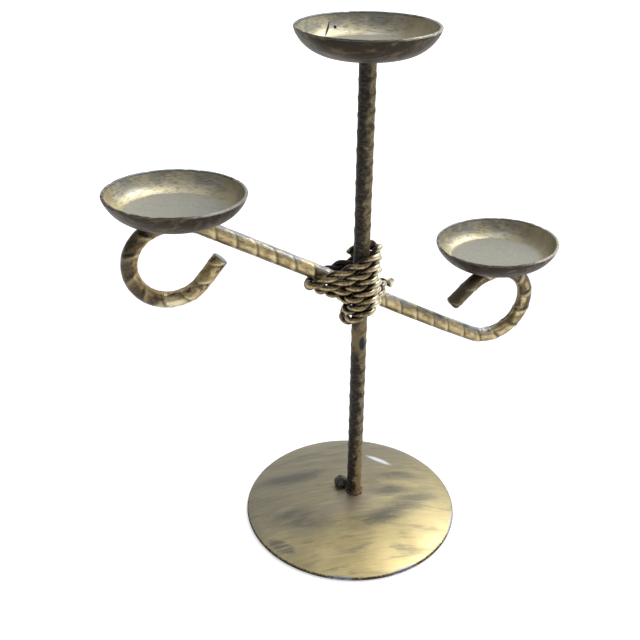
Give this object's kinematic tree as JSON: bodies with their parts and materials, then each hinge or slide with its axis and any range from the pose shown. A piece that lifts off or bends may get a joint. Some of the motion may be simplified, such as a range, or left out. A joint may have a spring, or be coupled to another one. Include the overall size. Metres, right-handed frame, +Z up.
{
  "type": "table-top candle stand",
  "caption": "Table-top candle stand: round domed foot, ribbed upright rod, a slanting rod with curled ends lashed across it with twisted wire, and shallow dished candle cups.",
  "frame": {"origin": "on the floor under the middle of the round foot", "axes": "+Z up along the standing rod, +X along the crossing arm towards its lower end, and the arm passes on the +Y side of the standing rod"},
  "size_m": [0.1231, 0.062, 0.1402],
  "materials": {
    "foot": "antique gold paint brushed over dark metal",
    "rod": "dark metal with worn gold paint on its ribs",
    "cup": "antique gold paint brushed over dark metal",
    "wire": "worn gold paint over dark wire",
    "weld": "rough dark weld metal"
  },
  "bodies": {
    "root": {"base_plate": "foot", "stem_rod": "rod", "cross_arm": "rod", "cup_top": "cup", "cup_high": "cup", "cup_low": "cup", "binding_wire_a": "wire", "binding_wire_b": "wire", "weld_foot": "weld", "weld_cup_top": "weld", "weld_cup_high": "weld", "weld_cup_low": "weld"}
  },
  "joints": []
}
